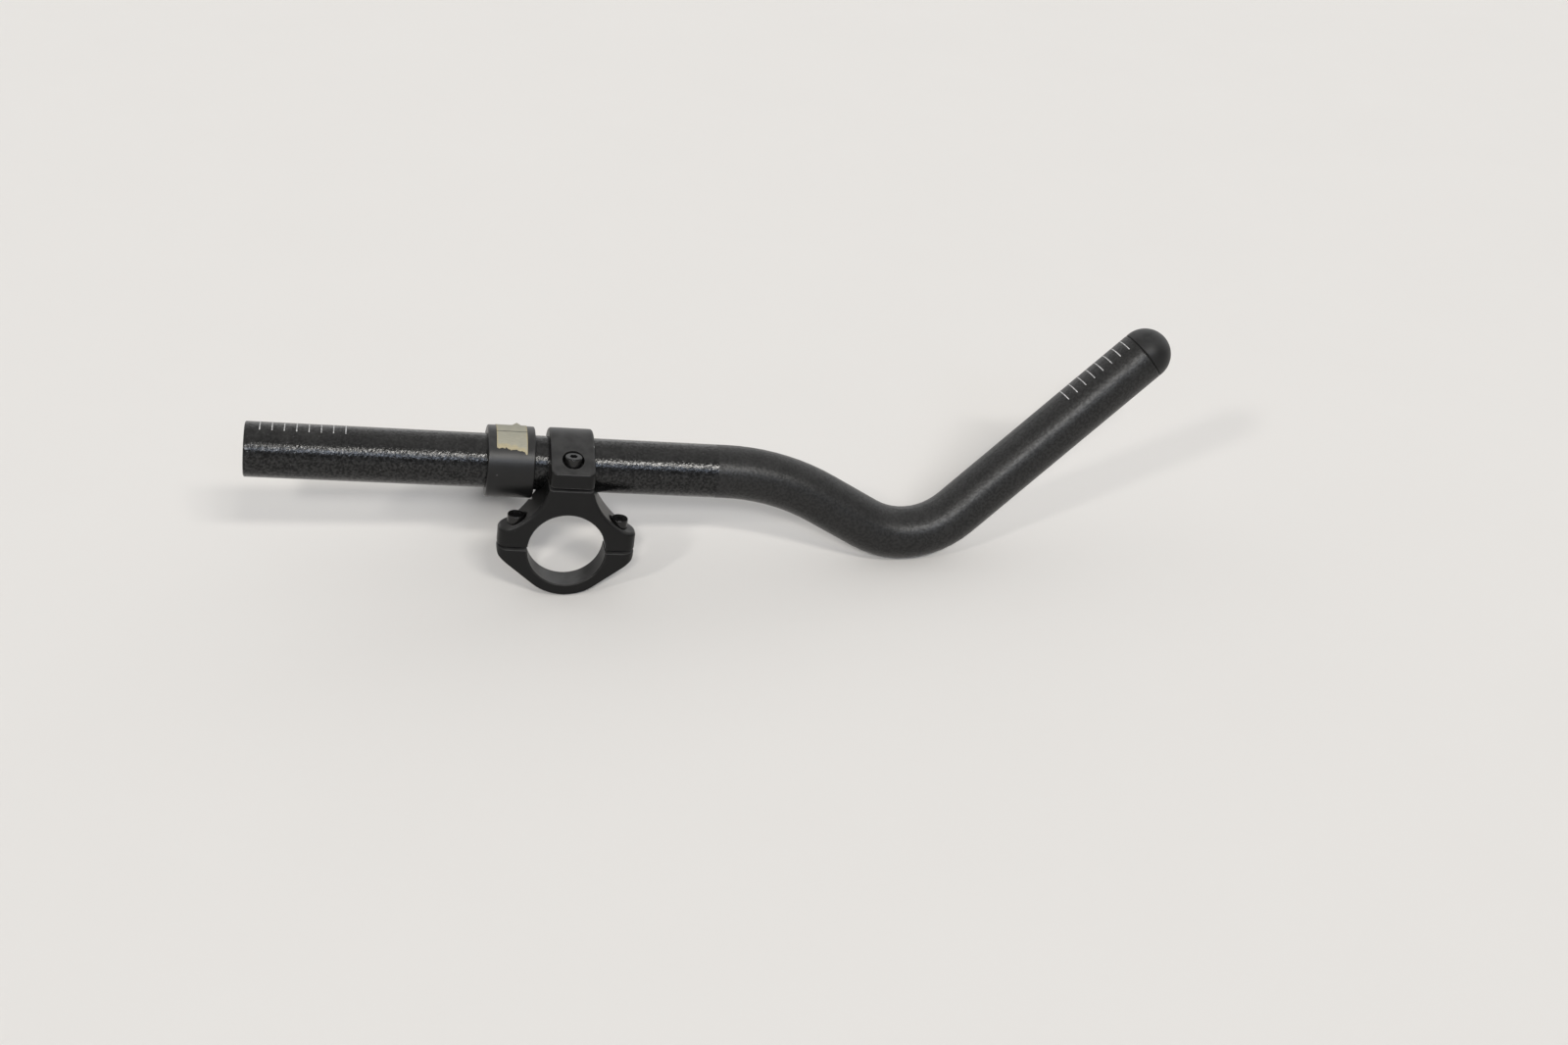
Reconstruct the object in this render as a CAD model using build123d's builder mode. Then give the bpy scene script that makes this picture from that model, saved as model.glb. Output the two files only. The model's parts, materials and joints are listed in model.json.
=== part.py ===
from build123d import *

import os
from math import cos, pi, radians, sin, tan

# Clip-on aero handlebar extension: an S-bend tube in a two-bolt bar clamp, with its armrest bracket.
# Millimetres. The origin is the middle of the handlebar bore. X runs forward along the extension,
# Y runs along the handlebar towards its outboard end, and Z is up.

os.makedirs("parts", exist_ok=True)

# Driving dimensions

# Handlebar and extension tube
bar_diameter = 31.8
tube_diameter = 22.2
tube_wall = 1.8
tube_rear = -128.5          # open rear end, from the bar's axis
bend_start = 65.5           # where the level run ends
drop_radius = 95.0          # gentle bend downwards
drop_angle = 26.3
link_length = 22.2          # straight between the two bends
rise_radius = 35.0          # tight bend upwards
rise_angle = 70.9
front_run = 104.5           # last straight, to the tube's cut end
roll_angle = 9.9            # the bends lean outboard by this much
tube_edge = 0.4             # chamfer on the cut ends

# End plug
plug_rim = 1.0              # cylindrical edge under the dome
plug_stem_length = 14.0
plug_stem_clearance = 0.15
plug_stem_bore = 10.0       # the stem is a hollow moulding
plug_seam = 0.35            # small chamfer that shows as a line against the tube

# Fits
slide_clearance = 0.05      # radial, between the tube and each collar
thread_clearance = 0.05     # radial, between a bolt and its tapped hole
bolt_hole_clearance = 0.2   # radial, between a bolt and its plain hole

# Bolts: M4 socket head
bolt_diameter = 4.0
head_diameter = 7.0
head_height = 4.0
socket_across_flats = 3.0
socket_depth = 2.2
head_edge = 0.5
tip_edge = 0.5
pocket_diameter = 9.0       # counterbores and spot faces around the heads
collar_bolt_length = 16.0
cap_bolt_length = 16.0
bracket_bolt_length = 10.0
tap_runout = 1.0            # tapped hole left under the collar bolt's end

# Bar clamp ring
ring_width = 11.6
ring_wall = 4.6
split_gap = 1.2
cap_bolt_wall = 5.15        # from the bore to the bolts' axes
lug_reach = 7.0             # from the bolts' axes to the lugs' ends
lug_top = 7.9               # where the flanks end
lug_corner = 4.8            # plan rounding of the lugs' ends
cap_seat = 9.3              # where the cap bolts' heads sit
cap_lug_height = 3.4        # from the split to the foot of the cap's lugs
cap_side = 1.2              # upright part of the cap's lug ends, above their draft
cap_draft = 0.4             # how far the lug ends lean in at their feet
cap_corner = 3.0
bore_edge = 0.4
ridge_edge = 1.6            # rounding along the upper edges of the saddle
split_edge = 0.5            # rounding along the edges of the split between body and cap
cap_edge = 0.6              # rounding along the cap's lower edges
crown_edge = 0.6            # rounding along the saddle's top edge, under the slit
relief_gap = 0.4            # between the bar and the collar that crosses over it

# Extension collar and saddle
stack_gap = 2.0             # metal between the bar and the tube where they cross
bolt_to_tube = 2.5          # metal between the collar bolt and the tube
collar_width = 18.0
collar_wall = 3.7
collar_edge = 1.2
face_slope = 24.0           # the bolt face falls towards the inboard end
lug_overhang = 1.5          # the bolt lug stands out past the ring's face
slit = 2.0
slit_drop = 0.1             # top of the slit below the tube's axis
collar_seat_rise = 6.9      # from the tube's axis to the collar bolt's seat
lug_end_corner = 3.0
flank_hollow = 4.0          # how far the flanks curve in
saddle_reach = 4.5          # how far the saddle runs on past the tube's axis
gusset_start = 1.2          # where the saddle starts to widen, outside the cap bolts' axes
gusset_width = 11.5         # half width of the saddle where it meets the collar
gusset_depth = 1.1          # inboard of the tube's axis at that place

# Armrest bracket
bracket_gap = 5.7           # between the two collars
bracket_width = 19.0
bracket_wall = 3.5
arm_slope = 40.0            # below level, outboard
arm_thickness = 4.0
arm_length = 82.0           # from the tube's axis to the tip
paddle_width = 22.3
neck_length = 26.0          # parallel part of the arm
paddle_start = 50.0
bracket_bolt_reach = 20.0   # from the tube's axis to the bracket's bolt
pad_hole_first = 43.0
pad_hole_pitch = 23.0
pad_hole_diameter = 5.0
arm_slit = 1.6
jaw_thickness = 5.5         # lower jaw, under the arm
jaw_margin = 6.0            # from the bolt's axis to the jaw's end
arm_edge = 0.6
bolt_countersink = 5.6
bracket_room = 0.5          # between the bracket's collar and the saddle that stops it

# Tape label
tape_width = 12.3
tape_thickness = 0.2
tape_lift = 0.02
tape_wrap = 48.0            # degrees round the collar from its top, towards the inboard side
tape_tail = 4.0             # on the flat of the arm

# Derived sizes

bar_radius = bar_diameter / 2
tube_radius = tube_diameter / 2
tube_bore = tube_radius - tube_wall
collar_bore = tube_radius + slide_clearance
collar_radius = tube_radius + collar_wall
bracket_radius = tube_radius + bracket_wall

tube_height = bar_radius + tube_radius + stack_gap
tube_offset = tube_radius + bolt_diameter / 2 + bolt_to_tube
near_face = -ring_width / 2
lug_face = near_face - lug_overhang
face_reach = tube_offset - lug_face

slit_top = tube_height - slit_drop
slit_bottom = slit_top - slit
collar_seat = tube_height + collar_seat_rise
neck = collar_width / 2
cap_bolt_x = bar_radius + cap_bolt_wall
lug_end = cap_bolt_x + lug_reach
ring_radius = bar_radius + ring_wall
saddle_end = tube_offset + saddle_reach

bracket_front = -neck - bracket_gap
bracket_middle = bracket_front - bracket_width / 2

tapped_radius = bolt_diameter / 2 + thread_clearance
plain_radius = bolt_diameter / 2 + bolt_hole_clearance
past = 60.0                 # cutters run this far past what they cut
same = 0.01                 # lengths this close count as equal

# Shared planes

tube_centre = (tube_offset, tube_height)
front_plane = Plane.XZ.offset(-near_face)
bend_plane = Plane(
    origin=(0, tube_offset, tube_height),
    x_dir=(1, 0, 0),
    z_dir=Vector(0, -1, 0).rotate(Axis.X, -roll_angle),
)
arm_direction = Vector(0, 1, 0).rotate(Axis.X, -arm_slope)
arm_normal = Vector(0, 0, 1).rotate(Axis.X, -arm_slope)
bracket_section = Plane(
    origin=(bracket_front - bracket_width, tube_offset, tube_height), x_dir=arm_direction, z_dir=(1, 0, 0)
)
arm_plane = Plane(origin=(bracket_middle, tube_offset, tube_height), x_dir=arm_direction, z_dir=arm_normal)


def save(piece, name):
    """Labels a finished piece and writes it under its own name."""
    piece.label = name
    export_step(piece, f"parts/{name}.step")


# Extension tube: level run, drop, short link, rise and front run

with BuildPart() as extension_tube:
    with BuildLine(bend_plane) as tube_path:
        level = Line((tube_rear, 0), (bend_start, 0))
        drop = JernArc(level @ 1, level % 1, drop_radius, -drop_angle)
        link = PolarLine(drop @ 1, link_length, -drop_angle)
        rise = JernArc(link @ 1, link % 1, rise_radius, rise_angle)
        front = PolarLine(rise @ 1, front_run, rise_angle - drop_angle)
    with BuildSketch(Plane(origin=tube_path.line @ 0, z_dir=tube_path.line % 0)):
        Circle(tube_radius)
        Circle(tube_bore, mode=Mode.SUBTRACT)
    sweep()
    cut_ends = extension_tube.faces().filter_by(GeomType.PLANE)
    chamfer(cut_ends.edges(), tube_edge)

tube_line = tube_path.line
save(extension_tube.part, "extension_tube")


# End plug: dome on a hollow stem that pushes into the tube

plug_axis = Plane(origin=tube_line @ 1, x_dir=bend_plane.z_dir, z_dir=tube_line % 1)
plug_section = Plane(origin=tube_line @ 1, x_dir=plug_axis.x_dir, z_dir=-plug_axis.y_dir)
stem_radius = tube_bore - plug_stem_clearance

with BuildPart() as end_plug:
    with BuildSketch(plug_section):
        with BuildLine():
            Polyline(
                (0, -tube_wall),
                (plug_stem_bore / 2, -tube_wall),
                (plug_stem_bore / 2, -plug_stem_length),
                (stem_radius, -plug_stem_length),
                (stem_radius, 0),
                (tube_radius - plug_seam, 0),
                (tube_radius, plug_seam),
                (tube_radius, plug_rim),
            )
            CenterArc((0, plug_rim), tube_radius, 0, 90)
            Line((0, plug_rim + tube_radius), (0, -tube_wall))
        make_face()
    revolve(axis=Axis(tube_line @ 1, tube_line % 1))

save(end_plug.part, "end_plug")


# Saddle: front outline with hollow flanks, narrowed in plan to the two bolt lugs

with BuildPart() as saddle:
    with BuildSketch(front_plane):
        with BuildLine():
            Line((0, slit_bottom), (neck, slit_bottom))
            SagittaArc((neck, slit_bottom), (lug_end, lug_top), -flank_hollow)
            Polyline((lug_end, lug_top), (lug_end, split_gap / 2), (0, split_gap / 2))
            mirror(about=Plane.YZ)
        make_face()
    extrude(amount=-(saddle_end - near_face))
    with BuildSketch(Plane.XY) as saddle_plan:
        with BuildLine():
            Polyline(
                (0, near_face),
                (lug_end, near_face),
                (lug_end, -near_face),
                (cap_bolt_x + gusset_start, -near_face),
                (gusset_width, tube_offset - gusset_depth),
                (neck, saddle_end),
                (0, saddle_end),
            )
            mirror(about=Plane.YZ)
        make_face()
        plan_tips = saddle_plan.vertices().group_by(Axis.X)
        fillet(plan_tips[0] + plan_tips[-1], lug_corner)
    extrude(amount=tube_height, mode=Mode.INTERSECT)
    flanks = saddle.faces().filter_by(GeomType.CYLINDER).sort_by(SortBy.AREA)[-2:]
    rims = flanks.edges().filter_by(lambda edge: edge.center().Y < tube_offset - gusset_depth)
    fillet(rims.filter_by(lambda edge: edge.center().Z < slit_bottom - ridge_edge), ridge_edge)
    split_rims = saddle.faces().sort_by(Axis.Z)[0].edges()
    fillet(split_rims.filter_by(lambda edge: edge.center().Y < same - near_face), split_edge)
    crown_rim = saddle.edges().filter_by(Axis.X).group_by(Axis.Z)[-1].sort_by(Axis.Y)[0]
    fillet(crown_rim, crown_edge)


# Clamp body: the collar with its bolt lug, forged in one with the saddle

slope = radians(face_slope)
face_root = (tube_offset - collar_radius * sin(slope), tube_height + collar_radius * cos(slope))
face_foot = (lug_face, tube_height + collar_radius / cos(slope) - face_reach * tan(slope))

with BuildPart() as clamp_body:
    with BuildSketch(Plane.YZ.offset(-neck)):
        with Locations(tube_centre):
            Circle(collar_radius)
        with BuildLine():
            Polyline(
                tube_centre,
                face_root,
                face_foot,
                (lug_face, slit_top),
                (tube_offset, slit_top),
                close=True,
            )
        make_face()
    extrude(amount=collar_width)
    fillet(clamp_body.edges().filter_by(Axis.Z), lug_end_corner)
    collar_rims = clamp_body.faces().filter_by(Axis.X).edges()
    fillet(collar_rims.filter_by(Axis.Y, reverse=True), collar_edge)
    add(saddle.part)

    # Bores for the tube and the bar, and room for the bracket's collar, which the saddle stops
    with BuildSketch(Plane.YZ):
        with Locations(tube_centre):
            Circle(collar_bore)
    extrude(amount=past, both=True, mode=Mode.SUBTRACT)
    with BuildSketch(Plane.YZ.offset(bracket_front + bracket_room)):
        with Locations(tube_centre):
            Circle(bracket_radius + bracket_room)
    extrude(amount=-past, mode=Mode.SUBTRACT)
    with BuildSketch(Plane.XZ):
        Circle(bar_radius)
    extrude(amount=past, both=True, mode=Mode.SUBTRACT)
    with BuildSketch(Plane.XZ.offset(near_face)):
        Circle(bar_radius + relief_gap)
    extrude(amount=-past, mode=Mode.SUBTRACT)

    # Slit that lets the collar close on the tube
    with BuildSketch(Plane.YZ):
        with Locations((tube_offset, slit_bottom)):
            Rectangle(past, slit, align=(Align.MAX, Align.MIN))
    extrude(amount=past, both=True, mode=Mode.SUBTRACT)

    # Collar bolt: counterbore, plain hole in the lug and tapped hole in the saddle
    with BuildSketch(Plane.XY.offset(collar_seat)):
        Circle(pocket_diameter / 2)
    extrude(amount=past, mode=Mode.SUBTRACT)
    with BuildSketch(Plane.XY.offset(collar_seat)):
        Circle(plain_radius)
    extrude(amount=slit_top - collar_seat, mode=Mode.SUBTRACT)
    with BuildSketch(Plane.XY.offset(slit_bottom)):
        Circle(tapped_radius)
    extrude(amount=collar_seat - collar_bolt_length - tap_runout - slit_bottom, mode=Mode.SUBTRACT)

    # Cap bolts: spot faces sunk into the flanks, and plain holes
    with BuildSketch(Plane.XY.offset(cap_seat)):
        with Locations((-cap_bolt_x, 0), (cap_bolt_x, 0)):
            Circle(pocket_diameter / 2)
    extrude(amount=slit_bottom - cap_seat, mode=Mode.SUBTRACT)
    with BuildSketch(Plane.XY):
        with Locations((-cap_bolt_x, 0), (cap_bolt_x, 0)):
            Circle(plain_radius)
    extrude(amount=past, mode=Mode.SUBTRACT)

    arcs = clamp_body.edges().filter_by(GeomType.CIRCLE)
    bore_rims = arcs.filter_by(lambda arc: abs(arc.radius - bar_radius) < same)
    chamfer(bore_rims.group_by(Axis.Y)[0], bore_edge)

save(clamp_body.part, "clamp_body")


# Clamp cap: lower half of the ring, with lugs that run down into it

cap_split = -split_gap / 2
cap_foot = cap_split - cap_lug_height

with BuildPart() as clamp_cap:
    with BuildSketch(front_plane) as cap_outline:
        Circle(ring_radius)
        with BuildLine():
            Polyline(
                (0, cap_split),
                (lug_end, cap_split),
                (lug_end, cap_split - cap_side),
                (lug_end - cap_draft, cap_foot),
                (0, cap_foot),
            )
            mirror(about=Plane.YZ)
        make_face()
        make_hull()
        with Locations((0, cap_split)):
            Rectangle(2 * past, past, align=(Align.CENTER, Align.MIN), mode=Mode.SUBTRACT)
        lug_ends = cap_outline.vertices().filter_by(lambda corner: abs(corner.X) > lug_end - cap_draft - same)
        fillet(lug_ends.group_by(Axis.Y)[0], cap_corner)
    extrude(amount=-ring_width)
    with BuildSketch(Plane.XY):
        RectangleRounded(2 * lug_end, ring_width, lug_corner)
    extrude(amount=-ring_radius, mode=Mode.INTERSECT)
    fillet(clamp_cap.faces().sort_by(Axis.Z)[-1].edges(), split_edge)
    cap_rims = clamp_cap.faces().filter_by(Axis.Y).edges()
    fillet(cap_rims.filter_by(lambda edge: edge.center().Z < -cap_lug_height - cap_corner), cap_edge)
    with BuildSketch(Plane.XY):
        with Locations((-cap_bolt_x, 0), (cap_bolt_x, 0)):
            Circle(tapped_radius)
    extrude(amount=-past, mode=Mode.SUBTRACT)

    # Bar bore, flared at both ends
    with BuildSketch(Plane.XY):
        with BuildLine():
            Polyline(
                (0, near_face - bore_edge),
                (bar_radius + 2 * bore_edge, near_face - bore_edge),
                (bar_radius, near_face + bore_edge),
                (bar_radius, 0),
                (0, 0),
                close=True,
            )
        make_face()
        mirror(about=Plane.XZ)
    revolve(axis=Axis.Y, mode=Mode.SUBTRACT)

save(clamp_cap.part, "clamp_cap")


# Armrest bracket: split collar whose upper jaw runs out as a flat arm

jaw_top = bracket_radius - arm_thickness - arm_slit
jaw_bottom = jaw_top - jaw_thickness
jaw_end = bracket_bolt_reach + jaw_margin
bracket_half = bracket_width / 2
paddle_half = paddle_width / 2
tip_centre = arm_length - paddle_half

with BuildPart() as arm:
    with BuildSketch(arm_plane.offset(bracket_radius)):
        with BuildLine():
            Polyline((0, 0), (0, bracket_half), (neck_length, bracket_half))
            Polyline((neck_length, bracket_half), (paddle_start, paddle_half), (tip_centre, paddle_half))
            CenterArc((tip_centre, 0), paddle_half, 90, -90)
            mirror(about=Plane.XZ)
        make_face()
    extrude(amount=-arm_thickness)
    arm_faces = arm.faces().filter_by(Plane(arm_plane.origin, z_dir=arm_normal))
    fillet(arm_faces.edges().filter_by(Axis.X, reverse=True), arm_edge)

with BuildPart() as armrest_bracket:
    with BuildSketch(bracket_section):
        Circle(bracket_radius)
    extrude(amount=bracket_width)
    fillet(armrest_bracket.edges().filter_by(GeomType.CIRCLE), arm_edge)
    with BuildSketch(bracket_section):
        with Locations((0, jaw_bottom)):
            Rectangle(jaw_end, jaw_thickness, align=(Align.MIN, Align.MIN))
    extrude(amount=bracket_width)
    add(arm.part)
    with BuildSketch(bracket_section):
        Circle(collar_bore)
        with Locations((0, jaw_top)):
            Rectangle(past, arm_slit, align=(Align.MIN, Align.MIN))
    extrude(amount=bracket_width, mode=Mode.SUBTRACT)
    with BuildSketch(arm_plane.offset(jaw_bottom)):
        with Locations((bracket_bolt_reach, 0)):
            Circle(plain_radius)
    extrude(amount=jaw_thickness, mode=Mode.SUBTRACT)
    with BuildSketch(arm_plane.offset(bracket_radius)):
        with Locations((bracket_bolt_reach, 0)):
            Circle(tapped_radius)
        with Locations((pad_hole_first, 0), (pad_hole_first + pad_hole_pitch, 0)):
            Circle(pad_hole_diameter / 2)
    extrude(amount=-arm_thickness, mode=Mode.SUBTRACT)
    bolt_rims = armrest_bracket.edges().filter_by(lambda e: abs(e.length - 2 * pi * tapped_radius) < same)
    chamfer(bolt_rims.sort_by(Axis(arm_plane.origin, arm_normal))[-1], bolt_countersink / 2 - tapped_radius)

save(armrest_bracket.part, "armrest_bracket")


# Bolts

def socket_bolt(seat, length):
    """Socket-head bolt whose head stands on the seat plane and whose shank runs down from it."""
    with BuildPart() as bolt:
        with BuildSketch(seat):
            Circle(head_diameter / 2)
        extrude(amount=head_height)
        fillet(bolt.edges().sort_by(Axis(seat.origin, seat.z_dir))[-1], head_edge)
        with BuildSketch(seat.offset(head_height)):
            RegularPolygon(socket_across_flats / 2, 6, major_radius=False)
        extrude(amount=-socket_depth, mode=Mode.SUBTRACT)
        with BuildSketch(seat):
            Circle(bolt_diameter / 2)
        extrude(amount=-length)
        chamfer(bolt.edges().sort_by(Axis(seat.origin, seat.z_dir))[0], tip_edge)
    return bolt.part


save(socket_bolt(Plane.XY.offset(collar_seat), collar_bolt_length), "collar_bolt")
save(socket_bolt(Plane(origin=(cap_bolt_x, 0, cap_seat)), cap_bolt_length), "cap_bolt_front")
save(socket_bolt(Plane(origin=(-cap_bolt_x, 0, cap_seat)), cap_bolt_length), "cap_bolt_rear")

jaw_seat = Plane(
    origin=arm_plane.from_local_coords(Vector(bracket_bolt_reach, 0, jaw_bottom)),
    x_dir=arm_direction,
    z_dir=-arm_normal,
)
save(socket_bolt(jaw_seat, bracket_bolt_length), "bracket_bolt")


# Tape label round the top of the bracket's collar, with a short tail on the arm

tape_inner = bracket_radius + tape_lift
tape_outer = tape_inner + tape_thickness
tape_sweep = tape_wrap + arm_slope
tape_section = bracket_section.offset((bracket_width - tape_width) / 2)

with BuildPart() as tape_label:
    with BuildSketch(tape_section):
        with BuildLine():
            inner = CenterArc((0, 0), tape_inner, 90, tape_sweep)
            outer = CenterArc((0, 0), tape_outer, 90, tape_sweep)
            Line(inner @ 1, outer @ 1)
            Polyline((0, tape_inner), (tape_tail, tape_inner), (tape_tail, tape_outer), (0, tape_outer))
        make_face()
    extrude(amount=tape_width)

save(tape_label.part, "tape_label")
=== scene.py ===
import json
from math import cos, radians, sin

import bmesh
import bpy
from mathutils import Matrix, Vector, noise


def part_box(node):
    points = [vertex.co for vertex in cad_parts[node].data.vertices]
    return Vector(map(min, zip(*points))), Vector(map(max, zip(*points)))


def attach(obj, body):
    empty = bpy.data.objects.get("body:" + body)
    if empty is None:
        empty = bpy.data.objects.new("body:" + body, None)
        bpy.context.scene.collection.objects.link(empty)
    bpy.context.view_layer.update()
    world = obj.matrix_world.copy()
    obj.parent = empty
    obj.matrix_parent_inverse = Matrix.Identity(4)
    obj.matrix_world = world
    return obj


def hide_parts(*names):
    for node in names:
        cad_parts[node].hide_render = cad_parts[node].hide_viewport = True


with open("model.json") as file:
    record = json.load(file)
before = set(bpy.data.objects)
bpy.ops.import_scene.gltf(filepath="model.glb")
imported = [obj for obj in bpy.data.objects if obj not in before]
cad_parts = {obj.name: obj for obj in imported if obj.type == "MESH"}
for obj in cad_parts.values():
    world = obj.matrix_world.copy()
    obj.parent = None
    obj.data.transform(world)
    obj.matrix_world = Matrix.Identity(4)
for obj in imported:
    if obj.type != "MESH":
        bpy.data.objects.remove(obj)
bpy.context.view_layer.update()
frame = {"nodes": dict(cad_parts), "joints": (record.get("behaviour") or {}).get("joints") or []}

nodes = frame["nodes"]
MM = 0.001
quarter = radians(90)

# Tube: a straight rear run, and a front run that the bends turn up and outboard
armrest_joint = next(joint for joint in frame["joints"] if joint["name"] == "armrest_turn")
tube_axis = Vector(armrest_joint["pos_m"])
tube_centre = Vector((0, tube_axis.y, tube_axis.z))
tube_radius = 11.1 * MM
front_end = Vector((241.98, 25.94, 88.27)) * MM
front_pitch = radians(44.6)
bend_roll = radians(9.9)
front_along = Vector((
    cos(front_pitch),
    sin(front_pitch) * sin(bend_roll),
    sin(front_pitch) * cos(bend_roll),
))
front_top = Vector((
    -sin(front_pitch),
    cos(front_pitch) * sin(bend_roll),
    cos(front_pitch) * cos(bend_roll),
))
coat_end = 61 * MM                 # the gritty coat of the rear run stops here
coat_ragged = 0.2 * MM             # by so much either way

# Ruler marks printed on both ends of the tube
mark_count = 8
mark_pitch = 4.73 * MM
mark_step = 5                      # millimetres that one mark stands for
mark_width = 0.42 * MM
mark_arc = radians(78)
arc_steps = 24
rear_first_mark = -122.6 * MM
rear_inboard_end = radians(20.6)   # from the tube's top, towards the inboard side
front_first_mark = 3.9 * MM        # behind the tube's front end
front_inboard_end = radians(34.8)
print_lift = 0.03 * MM
figure_height = 1.9 * MM
figure_share = 0.7                 # a figure's height as a share of its letter size
figure_gap = 0.7 * MM
figure_curve_steps = 3

# Tape round the bracket's collar; angles run round the tube from the arm's own direction
arm_slope = radians(40)
arm_along = Vector((0, cos(arm_slope), -sin(arm_slope)))
arm_normal = Vector((0, sin(arm_slope), cos(arm_slope)))
tape_low, tape_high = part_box("tape_label")
tape_width = tape_high.x - tape_low.x
tape_inner = 14.64 * MM
tape_thickness = 0.16 * MM
tape_radius = tape_inner + tape_thickness
tape_tear_start = radians(171)     # torn end on the inboard side, rear corner
tape_tear_skew = radians(10)       # how much further the tear runs at its front corner
tape_tail = 3.4 * MM               # on the flat of the arm, where the other torn end is
tape_columns, tape_rows = 64, 120
tear_depth = 1.1 * MM
tear_sizes = (1.0, 2.0, 4)         # fall, ratio and number of the sizes of ragged teeth
head_tooth, head_seed = 1.6 * MM, 0.3
tail_tooth, tail_seed = 1.9 * MM, 7.7
crepe_depth = 0.05 * MM
crepe_across, crepe_along, crepe_seed = 2.5 * MM, 0.6 * MM, 2.2
flap_place, flap_width = 0.70, 0.16               # shares of the tape's width
flap_lift = 1.1 * MM
flap_run, flap_reach = 2.4 * MM, 1.3 * MM
glue_from_end, glue_from_side = 4 * MM, 1.5 * MM  # how far in the glue shows
glue_side_loss = 0.2                              # it shows less at the sides
pen_run = 12.9 * MM                # from where the strip leaves the arm
pen_width = 0.32 * MM
pen_core = 0.3                     # share of its width that is fully dark

# Chips on the rim of the clamp's collar: place and reach
collar_chips = (
    (Vector((8.8, 7.5, 41.0)) * MM, 0.6 * MM),
    (Vector((8.8, 18.4, 42.1)) * MM, 0.4 * MM),
)
chip_fade = 1.5                    # reaches at which a chip is gone

# Dust and painted top light lie on faces that look up, and rubbing with a painted edge highlight
# shows on sharp edges
dust_and_light_start, dust_and_light_full = 0.35, 0.95                # a face's share upwards
dust_and_light_thin = 0.6                                   # share of dust and painted top light in its thinnest patches
edge_none, edge_full = 0.995, 0.90                # how far a face agrees with the patch round it
patch_samples = 8
smooth_patch = 1.0 * MM
clamp_gloss, bracket_gloss = 0.19, 0.32

# Table: it rises forward and outboard, because the part lies on its ring, its dip and its arm
table_rise_forward = 0.1014
table_rise_outboard = 0.0821
table_size = 24.0

# Camera of the photograph
photo_width = 1600
focal_pixels = 1980
sensor_width = 36.0
nearest_seen = 10 * MM
camera_at = Vector((-85.89, -704.37, 370.56)) * MM
camera_right = Vector((0.97523, -0.17488, 0.13548))
camera_up = Vector((-0.04094, 0.45918, 0.88740))

# Lights in front: far lamps on the right, on the left and at the side, with a cool window between
warm = (1.03, 1.0, 0.95)
cool = (0.80, 0.95, 1.22)
lamp_rows = {
    # each lamp's share forward, shares outboard and up, light from each, width in the sky, colour
    "right_lamp": ({"_a": 0.07, "_b": 0.17, "_c": 0.27}, -0.735, 0.655, 0.33, radians(5), warm),
    "left_lamp": ({"": -0.22}, -0.835, 0.505, 1.0, radians(5.7), warm),
    "window": ({"_a": -0.16, "_b": 0.0, "_c": 0.16}, -0.86, 0.46, 0.10, radians(8), cool),
    "side_lamp": ({"": -0.65}, -0.60, 0.47, 0.50, radians(5.7), warm),
}

# Room: a pale horizon, a dim wall in front, a bright wall behind and a dimmer ceiling
front_level, back_level, overhead_level, horizon_level = 0.28, 1.00, 0.40, 0.74
front_side, back_side = -0.4, 0.4                 # a direction's share outboard
horizon_full, horizon_end = 0.06, 0.14            # a direction's share upwards
overhead_start, overhead_full = 0.55, 0.95


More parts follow.
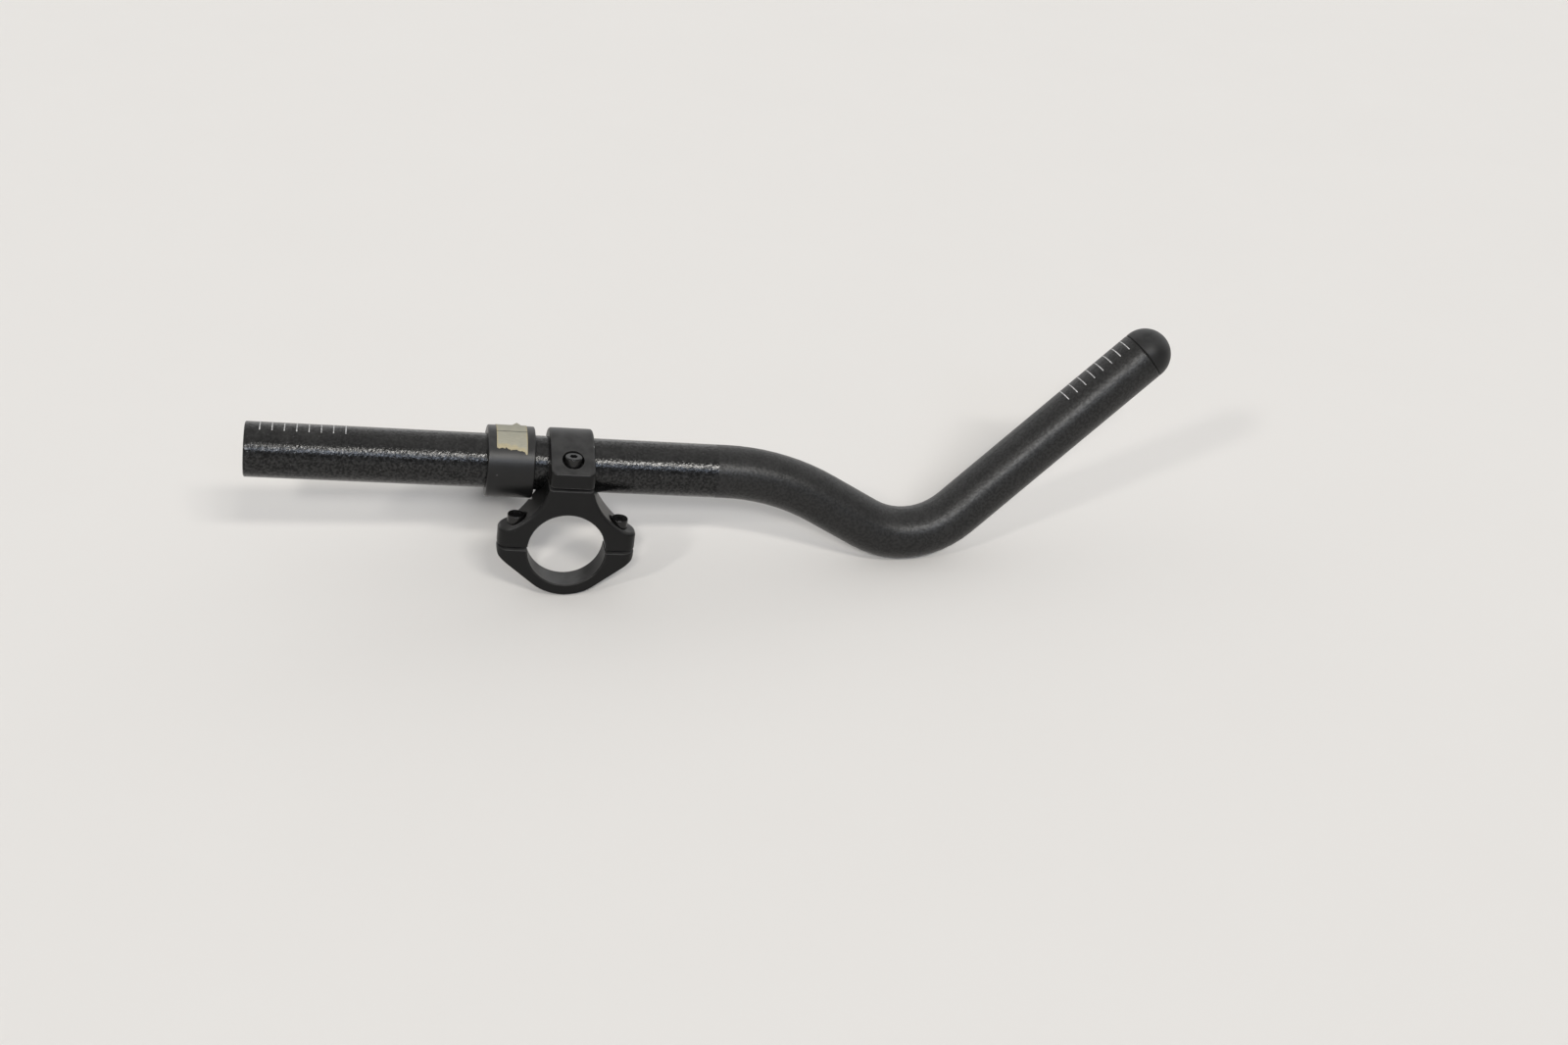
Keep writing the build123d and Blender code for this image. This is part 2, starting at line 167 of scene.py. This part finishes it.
class Graph:
    """Pattern of a finish, built from small steps. Sizes are in metres, shares run from 0 to 1."""

    def __init__(self, owner):
        owner.use_nodes = True
        self.owner = owner
        self.tree = owner.node_tree

    def feed(self, socket, value):
        if isinstance(value, bpy.types.NodeSocket):
            self.tree.links.new(value, socket)
        else:
            socket.default_value = value

    def add(self, kind, inputs=(), **settings):
        node = self.tree.nodes.new(kind)
        for name, value in settings.items():
            setattr(node, name, value)
        for name, value in dict(inputs).items():
            self.feed(node.inputs[name], value)
        return node

    def place(self):
        return self.add("ShaderNodeTexCoord").outputs["Object"]

    def attribute(self, name):
        return self.add("ShaderNodeAttribute", attribute_name=name).outputs["Fac"]

    def axis(self, name, vector=None):
        """One coordinate of a vector, which is the place on the part unless given."""
        split = self.add("ShaderNodeSeparateXYZ", {"Vector": vector or self.place()})
        return split.outputs[name]

    def noise(self, size, detail=2.0, vector=None):
        inputs = {"Vector": vector or self.place(), "Scale": 1 / size, "Detail": detail}
        return self.add("ShaderNodeTexNoise", inputs).outputs["Fac"]

    def cells(self, size):
        """Distance to the nearest of scattered points."""
        inputs = {"Vector": self.place(), "Scale": 1 / size}
        return self.add("ShaderNodeTexVoronoi", inputs).outputs["Distance"]

    def math(self, operation, *values):
        node = self.add("ShaderNodeMath", operation=operation)
        for socket, value in zip(node.inputs, values):
            self.feed(socket, value)
        return node.outputs[0]

    def times(self, a, b):
        return self.math("MULTIPLY", a, b)

    def plus(self, a, b):
        return self.math("ADD", a, b)

    def ramp(self, value, low, high, to_low=0.0, to_high=1.0):
        """Smooth step of a value from low to high."""
        inputs = {"Value": value, "From Min": low, "From Max": high}
        inputs.update({"To Min": to_low, "To Max": to_high})
        return self.add("ShaderNodeMapRange", inputs, interpolation_type="SMOOTHSTEP").outputs[0]

    def patches(self, size, detail, low, high, least=0.0):
        """Patchy share, the least where a noise is under low, and 1 where it is over high."""
        return self.ramp(self.noise(size, detail), low, high, least)

    def blend(self, share, low, high):
        """Number from low to high by a share."""
        inputs = {"Value": share, "To Min": low, "To Max": high}
        return self.add("ShaderNodeMapRange", inputs).outputs[0]

    def choose(self, share, first, second):
        """Number between two others that both vary, by a share."""
        node = self.add("ShaderNodeMix")
        for index, value in zip((0, 2, 3), (share, first, second)):
            self.feed(node.inputs[index], value)
        return node.outputs[0]

    def mix(self, share, first, second):
        """Colour between two, by a share."""
        node = self.add("ShaderNodeMix", data_type="RGBA")
        for index, value in zip((0, 6, 7), (share, first, second)):
            self.feed(node.inputs[index], value)
        return node.outputs[2]

    def bump(self, height, depth, normal=None):
        node = self.add("ShaderNodeBump", {"Height": height, "Distance": depth})
        if normal:
            self.feed(node.inputs["Normal"], normal)
        return node.outputs["Normal"]

    def near(self, spot, reach):
        """1 at a place on the part, falling to 0 at a ragged distance from it."""
        away = self.add("ShaderNodeVectorMath", operation="DISTANCE")
        self.feed(away.inputs[0], self.place())
        self.feed(away.inputs[1], spot)
        ragged = self.times(self.noise(reach, detail=3), reach)
        return self.ramp(self.plus(away.outputs["Value"], ragged), chip_fade * reach, reach)

    def settled_dust_and_light(self, size):
        """Patchy share of dust and painted top light, from 0 on upright faces to 1 on faces that
        look up.
        """
        normal = self.add("ShaderNodeTexCoord").outputs["Normal"]
        # faces that look up are made paler: dust, and painted top light
        upward = self.ramp(self.axis("Z", normal), dust_and_light_start, dust_and_light_full)
        return self.times(upward, self.patches(size, 4, 0.30, 0.65, least=dust_and_light_thin))

    def rounded(self, radius):
        """Surface direction averaged over a small patch."""
        bevel = self.add("ShaderNodeBevel", {"Radius": radius}, samples=patch_samples)
        return bevel.outputs["Normal"]

    def edges(self, radius):
        """1 on sharp edges, falling to 0 on the faces beside them."""
        own = self.add("ShaderNodeNewGeometry").outputs["Normal"]
        both = self.add("ShaderNodeVectorMath", operation="DOT_PRODUCT")
        self.feed(both.inputs[0], self.rounded(radius))
        self.feed(both.inputs[1], own)
        return self.ramp(both.outputs["Value"], edge_none, edge_full)


def new_material(name):
    """A material's graph and its shader's inputs."""
    graph = Graph(bpy.data.materials.new(name))
    return graph, graph.tree.nodes["Principled BSDF"].inputs


def grey(level, warmth=0.0):
    return (level * (1 + warmth), level, level * (1 - warmth), 1)


def tube_finish():
    """Satin black tube, with a glossy gritty coat on the rear length that the clamps hold."""
    dust_and_top_light, flake, flake_share = grey(0.026, warmth=0.02), grey(0.16), 0.5
    scuffed_satin, scuffed_coat = 0.05, 0.06      # roughness that scuffs add
    grit_height, grain_height, depth = 5.0, 7.0, 0.011 * MM

    graph, shader = new_material("tube_black")
    edge = graph.blend(graph.noise(1.2 * MM), coat_end - coat_ragged, coat_end + coat_ragged)
    coated = graph.math("LESS_THAN", graph.axis("X"), edge)
    grain = graph.noise(0.8 * MM, detail=2)
    grit = graph.noise(0.9 * MM, detail=1)
    flakes = graph.times(graph.patches(0.7 * MM, 2, 0.68, 0.78), coated)
    scuffs = graph.patches(9 * MM, 4, 0.56, 0.75)
    sparkle = graph.patches(1.1 * MM, 1, 0.35, 0.65)

    satin = graph.mix(graph.noise(14 * MM, detail=3), grey(0.005), grey(0.010, warmth=0.02))
    coat = graph.mix(graph.ramp(grit, 0.50, 0.75), grey(0.003), grey(0.014))
    # faces that look up get a paler colour: dust, and painted top light
    base = graph.mix(graph.settled_dust_and_light(6 * MM), graph.mix(coated, satin, coat), dust_and_top_light)
    graph.feed(shader["Base Color"], graph.mix(graph.times(flakes, flake_share), base, flake))

    satin_gloss = graph.blend(sparkle, 0.27, 0.42)
    coat_gloss = graph.blend(sparkle, 0.20, 0.50)
    graph.feed(shader["Specular IOR Level"], graph.choose(coated, satin_gloss, coat_gloss))
    satin_rough = graph.plus(graph.blend(grain, 0.35, 0.41), graph.times(scuffs, scuffed_satin))
    coat_rough = graph.plus(graph.blend(grit, 0.14, 0.24), graph.times(scuffs, scuffed_coat))
    graph.feed(shader["Roughness"], graph.choose(coated, satin_rough, coat_rough))

    gritty = graph.times(graph.times(grit, coated), grit_height)
    height = graph.plus(gritty, graph.times(grain, grain_height))
    graph.feed(shader["Normal"], graph.bump(height, depth, graph.rounded(smooth_patch)))
    return graph.owner


def forging_finish(name, gloss):
    """Matte black coat on the clamp and bracket, dusty and paler on top with painted top light, and
    rubbed paler on its edges with a painted edge highlight.
    """
    dust_and_top_light, rubbed_and_glint, rubbed_and_glint_share = grey(0.046, warmth=0.01), grey(0.12, warmth=0.02), 0.40
    chip, nick = grey(0.22), grey(0.35)
    polish = -0.08                                # roughness that rubbing adds

    graph, shader = new_material(name)
    grain = graph.noise(0.35 * MM, detail=3)
    clouds = graph.noise(7 * MM, detail=4)
    wear_and_glint = graph.times(graph.edges(0.6 * MM), graph.patches(2.2 * MM, 4, 0.35, 0.65, least=0.35))
    nicks = graph.ramp(graph.cells(6 * MM), 0.06, 0.03)
    nicks = graph.times(nicks, graph.ramp(clouds, 0.52, 0.62))

    base = graph.mix(clouds, grey(0.004), grey(0.007, warmth=0.01))
    # faces that look up get a paler colour: dust, and painted top light
    base = graph.mix(graph.settled_dust_and_light(5 * MM), base, dust_and_top_light)
    # sharp edges get a paler colour: rubbed wear, and a painted edge highlight
    base = graph.mix(graph.times(wear_and_glint, rubbed_and_glint_share), base, rubbed_and_glint)
    for spot, reach in collar_chips:
        base = graph.mix(graph.near(spot, reach), base, chip)
    graph.feed(shader["Base Color"], graph.mix(nicks, base, nick))
    shader["Specular IOR Level"].default_value = gloss
    rough = graph.plus(graph.blend(clouds, 0.32, 0.40), graph.times(wear_and_glint, polish))
    graph.feed(shader["Roughness"], rough)
    graph.feed(shader["Normal"], graph.bump(grain, depth=0.006 * MM))
    return graph.owner


def bolt_finish():
    """Black oxide steel, bright on its edges where tools and hands rub them, with a painted
    highlight there.
    """
    rubbed_and_glint, rubbed_and_glint_share = grey(0.35), 0.6

    graph, shader = new_material("bolt_black")
    clouds = graph.noise(1.6 * MM, detail=3)
    wear_and_glint = graph.times(graph.edges(0.25 * MM), graph.ramp(clouds, 0.30, 0.60))
    base = graph.mix(clouds, grey(0.022), grey(0.040, warmth=0.02))
    # edges get a paler colour: rubbed wear, and a painted edge highlight
    graph.feed(shader["Base Color"], graph.mix(graph.times(wear_and_glint, rubbed_and_glint_share), base, rubbed_and_glint))
    shader["Metallic"].default_value = 0.8
    graph.feed(shader["Roughness"], graph.blend(clouds, 0.12, 0.22))
    graph.feed(shader["Normal"], graph.bump(graph.noise(0.3 * MM), depth=0.004 * MM))
    return graph.owner


def plug_finish():
    """Moulded black plastic with a fine matte grain, and some dust with painted top light on faces
    that look up.
    """
    dust_and_top_light = grey(0.034)

    graph, shader = new_material("plug_black")
    grain = graph.noise(0.4 * MM, detail=2)
    clouds = graph.noise(5 * MM, detail=3)
    base = graph.mix(clouds, grey(0.006), grey(0.010))
    # faces that look up get a paler colour: dust, and painted top light
    graph.feed(shader["Base Color"], graph.mix(graph.settled_dust_and_light(4 * MM), base, dust_and_top_light))
    shader["Specular IOR Level"].default_value = 0.26
    graph.feed(shader["Roughness"], graph.blend(clouds, 0.40, 0.50))
    moulded = graph.bump(grain, depth=0.010 * MM, normal=graph.rounded(smooth_patch))
    graph.feed(shader["Normal"], moulded)
    return graph.owner


def tape_finish():
    """Aged crepe paper, yellow near its torn ends where the glue shows, with painted shade in its
    crepe furrows and one pen line.
    """
    dull_paper, pale_paper = (0.27, 0.27, 0.22, 1), (0.36, 0.34, 0.27, 1)
    glue, furrow_shade, pen = (0.38, 0.33, 0.21, 1), (0.22, 0.20, 0.15, 1), grey(0.03)
    stain_share, furrow_shade_share, pen_share = 0.7, 0.22, 0.8
    crepe_stretch = (0.25, 1, 1)

    graph, shader = new_material("tape_beige")
    wobble = graph.blend(graph.noise(3 * MM, detail=3), -0.25, 0.25)
    run = graph.plus(graph.attribute("run_mm"), wobble)
    from_pen = graph.math("ABSOLUTE", graph.math("SUBTRACT", run, pen_run / MM))
    line = graph.ramp(from_pen, pen_width / MM, pen_core * pen_width / MM)
    stretched = graph.add("ShaderNodeMapping", {"Vector": graph.place(), "Scale": crepe_stretch})
    crepe = graph.noise(0.5 * MM, detail=3, vector=stretched.outputs[0])
    furrow_shade_mask = graph.ramp(crepe, 0.35, 0.65, 1, 0)
    stain = graph.noise(4 * MM, detail=4)
    glued = graph.plus(graph.attribute("near_end"), graph.times(stain, stain_share))

    paper = graph.mix(stain, dull_paper, pale_paper)
    paper = graph.mix(graph.ramp(glued, 0.75, 1.15), paper, glue)
    # painted shade: the crepe's furrows, where the bump is low, are darker
    paper = graph.mix(graph.times(furrow_shade_mask, furrow_shade_share), paper, furrow_shade)
    graph.feed(shader["Base Color"], graph.mix(graph.times(line, pen_share), paper, pen))
    graph.feed(shader["Roughness"], graph.blend(crepe, 0.62, 0.80))
    graph.feed(shader["Normal"], graph.bump(crepe, depth=0.05 * MM))
    return graph.owner


def print_finish():
    """Thin pale ink, patchy where it has been handled."""
    graph, shader = new_material("mark_print")
    whole = graph.patches(1.3 * MM, 4, 0.38, 0.62)
    graph.feed(shader["Base Color"], graph.mix(whole, grey(0.30), grey(0.55)))
    graph.feed(shader["Roughness"], graph.blend(whole, 0.45, 0.60))
    return graph.owner


def table_finish():
    """Plain pale table top."""
    dull, pale = (0.735, 0.718, 0.697, 1), (0.749, 0.733, 0.712, 1)

    graph, shader = new_material("table_pale")
    graph.feed(shader["Base Color"], graph.mix(graph.noise(90 * MM, detail=3), dull, pale))
    shader["Specular IOR Level"].default_value = 0.25
    graph.feed(shader["Roughness"], graph.blend(graph.noise(30 * MM), 0.60, 0.70))
    return graph.owner


def paint(piece, finish):
    piece.data.materials.clear()
    piece.data.materials.append(finish)


def put(name, data):
    """A new object in the scene."""
    thing = bpy.data.objects.new(name, data)
    bpy.context.collection.objects.link(thing)
    return thing


def new_piece(name, mesh, body, finish):
    """A new piece of the scene that moves with a body."""
    piece = put(name, mesh)
    paint(piece, finish)
    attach(piece, body)
    return piece


def facing(direction):
    """Turn that brings straight up round to a direction."""
    return direction.to_track_quat("Z", "Y").to_matrix().to_4x4()


def join_rows(grid, rows):
    """Faces between rows of vertices that lie side by side."""
    for low, high in zip(rows, rows[1:]):
        for column in range(len(low) - 1):
            grid.faces.new((low[column], low[column + 1], high[column + 1], high[column]))


def mesh_of(grid, name):
    """Mesh of a finished grid, with its faces all turned one way."""
    bmesh.ops.recalc_face_normals(grid, faces=grid.faces)
    mesh = bpy.data.meshes.new(name)
    grid.to_mesh(mesh)
    grid.free()
    return mesh


class TubeSurface:
    """Skin of one straight run: distance along it, and angle from its top to the inboard side."""

    def __init__(self, origin, along, top):
        self.origin, self.along, self.top = origin, along, top
        self.inboard = along.cross(top)

    def at(self, distance, angle):
        outward = self.top * cos(angle) + self.inboard * sin(angle)
        return self.origin + self.along * distance + outward * (tube_radius + print_lift)


def figure_outline(text):
    """Flat mesh of a number: baseline along X, lower left corner at the origin."""
    curve = bpy.data.curves.new("figure", "FONT")
    curve.body = text
    curve.size = figure_height / figure_share
    curve.resolution_u = figure_curve_steps
    holder = bpy.data.objects.new("figure", curve)
    mesh = bpy.data.meshes.new_from_object(holder)
    bpy.data.objects.remove(holder)
    return mesh


def ruler(name, surface, first, step, inboard_end, finish):
    """Marks across the tube, counted from its end, with their numbers at the outboard end."""
    grid = bmesh.new()
    outboard_end = inboard_end - mark_arc
    end_side = -1 if step > 0 else 1
    for index in range(mark_count):
        middle = first + step * index
        sides = [middle + side * mark_width / 2 for side in (-1, 1)]
        rows = []
        for turn in range(arc_steps + 1):
            angle = outboard_end + mark_arc * turn / arc_steps
            rows.append([grid.verts.new(surface.at(side, angle)) for side in sides])
        join_rows(grid, rows)

        figure = figure_outline(str(mark_step * (index + 1)))
        start = len(grid.verts)
        grid.from_mesh(figure)
        bpy.data.meshes.remove(figure)
        grid.verts.ensure_lookup_table()
        for vertex in grid.verts[start:]:
            rise = figure_height - vertex.co.y if end_side < 0 else vertex.co.y
            along = figure_gap + mark_width / 2 + rise
            angle = outboard_end + vertex.co.x / tube_radius
            vertex.co = surface.at(middle + end_side * along, angle)
    new_piece(name, mesh_of(grid, name), "extension", finish)


def torn(x, tooth, seed):
    """How far a torn end runs out at one place across the tape."""
    return tear_depth * noise.fractal(Vector((x / tooth, seed, 0)), *tear_sizes)


def tape_lift(across, x, run):
    """Height of the tape's crepe and of its raised flap."""
    crepe = noise.noise(Vector((x / crepe_across, run / crepe_along, crepe_seed)))
    beside = max(0.0, 1 - abs(across - flap_place) / flap_width)
    along = max(0.0, 1 - ((run - flap_run) / flap_reach) ** 2)
    return crepe_depth * crepe + flap_lift * beside * along


def tape_spot(run, lift):
    """Place on the tape's outer side: round the collar, or out on the arm where run is negative."""
    if run > 0:
        angle = quarter + run / tape_radius
        outward = arm_along * cos(angle) + arm_normal * sin(angle)
        return tube_centre + outward * (tape_radius + lift)
    return tube_centre + arm_normal * (tape_radius + lift) - arm_along * run


def tape(finish):
    """Strip round the bracket's collar with both ends torn and one flap raised on its top."""
    grid = bmesh.new()
    near_end = grid.verts.layers.float.new("near_end")
    run_mm = grid.verts.layers.float.new("run_mm")
    rows = []
    for row in range(tape_rows + 1):
        line = []
        for column in range(tape_columns + 1):
            across = column / tape_columns
            x = tape_low.x + tape_width * across
            wrap = (tape_tear_start - quarter + tape_tear_skew * across) * tape_radius
            wrap += torn(x, head_tooth, head_seed)
            far = tape_tail + torn(x, tail_tooth, tail_seed)
            run = wrap - (wrap + far) * row / tape_rows
            spot = tape_spot(run, tape_lift(across, x, run))
            vertex = grid.verts.new((x, spot.y, spot.z))
            to_end = min(wrap - run, run + far) / glue_from_end
            to_side = min(across, 1 - across) * tape_width / glue_from_side
            vertex[near_end] = max(0.0, 1 - min(to_end, glue_side_loss + to_side))
            vertex[run_mm] = run / MM
            line.append(vertex)
        rows.append(line)
    join_rows(grid, rows)
    mesh = mesh_of(grid, "tape_strip")
    mesh.polygons.foreach_set("use_smooth", [True] * len(mesh.polygons))
    strip = new_piece("tape_strip", mesh, "armrest", finish)
    thick = strip.modifiers.new("thickness", "SOLIDIFY")
    thick.thickness = tape_thickness
    thick.offset = -1
    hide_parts("tape_label")


def table():
    """Large flat top that touches the part where it would lie on it."""
    normal = Vector((-table_rise_forward, -table_rise_outboard, 1)).normalized()
    lowest = min(normal.dot(vertex.co) for node in nodes.values() for vertex in node.data.vertices)
    half = table_size / 2
    corners = [(-half, -half, 0), (half, -half, 0), (half, half, 0), (-half, half, 0)]
    mesh = bpy.data.meshes.new("table")
    mesh.from_pydata(corners, [], [(0, 1, 2, 3)])
    top = put("table", mesh)
    top.matrix_world = Matrix.Translation(normal * lowest) @ facing(normal)
    paint(top, table_finish())


def lamp_row(name, places, outboard, up, strength, width, colour):
    """Lamps side by side, so far off that they light the whole table alike."""
    for ending, forward in places.items():
        data = bpy.data.lights.new(name + ending, "SUN")
        data.energy = strength
        data.angle = width
        data.color = colour
        light = put(name + ending, data)
        light.matrix_world = facing(Vector((forward, outboard, up)))


def room():
    """Pale horizon all round, under a dim wall in front, a bright wall behind and a ceiling."""
    graph = Graph(bpy.data.worlds.new("room"))
    bpy.context.scene.world = graph.owner
    direction = graph.add("ShaderNodeTexCoord").outputs["Generated"]
    height = graph.axis("Z", direction)
    walls = graph.ramp(graph.axis("Y", direction), front_side, back_side, front_level, back_level)
    level = graph.choose(graph.ramp(height, horizon_full, horizon_end), horizon_level, walls)
    level = graph.choose(graph.ramp(height, overhead_start, overhead_full), level, overhead_level)
    graph.feed(graph.tree.nodes["Background"].inputs["Color"], level)


def camera():
    """View from where the photograph was taken."""
    data = bpy.data.cameras.new("photo_camera")
    data.sensor_width = sensor_width
    data.lens = focal_pixels / photo_width * sensor_width
    data.clip_start = nearest_seen
    shot = put("photo_camera", data)
    back = camera_right.cross(camera_up)
    turn = Matrix((camera_right, camera_up, back)).transposed().to_4x4()
    shot.matrix_world = Matrix.Translation(camera_at) @ turn
    bpy.context.scene.camera = shot


# Finishes on the solids
forging = forging_finish("clamp_black", clamp_gloss)
bolts = bolt_finish()
finishes = {
    "extension_tube": tube_finish(),
    "end_plug": plug_finish(),
    "clamp_body": forging,
    "clamp_cap": forging,
    "armrest_bracket": forging_finish("bracket_black", bracket_gloss),
    "collar_bolt": bolts,
    "cap_bolt_front": bolts,
    "cap_bolt_rear": bolts,
    "bracket_bolt": bolts,
    "tape_label": tape_finish(),
}
for name, finish in finishes.items():
    paint(nodes[name], finish)

# Printed marks on the tube, and the torn tape in place of the plain strip
ink = print_finish()
rear_run = TubeSurface(tube_centre, Vector((1, 0, 0)), Vector((0, 0, 1)))
front_run = TubeSurface(front_end, front_along, front_top)
ruler("ruler_rear", rear_run, rear_first_mark, mark_pitch, rear_inboard_end, ink)
ruler("ruler_front", front_run, -front_first_mark, -mark_pitch, front_inboard_end, ink)
tape(finishes["tape_label"])

# Surroundings
table()
room()
for name, facts in lamp_rows.items():
    lamp_row(name, *facts)
camera()
bpy.context.scene.view_settings.view_transform = "Standard"
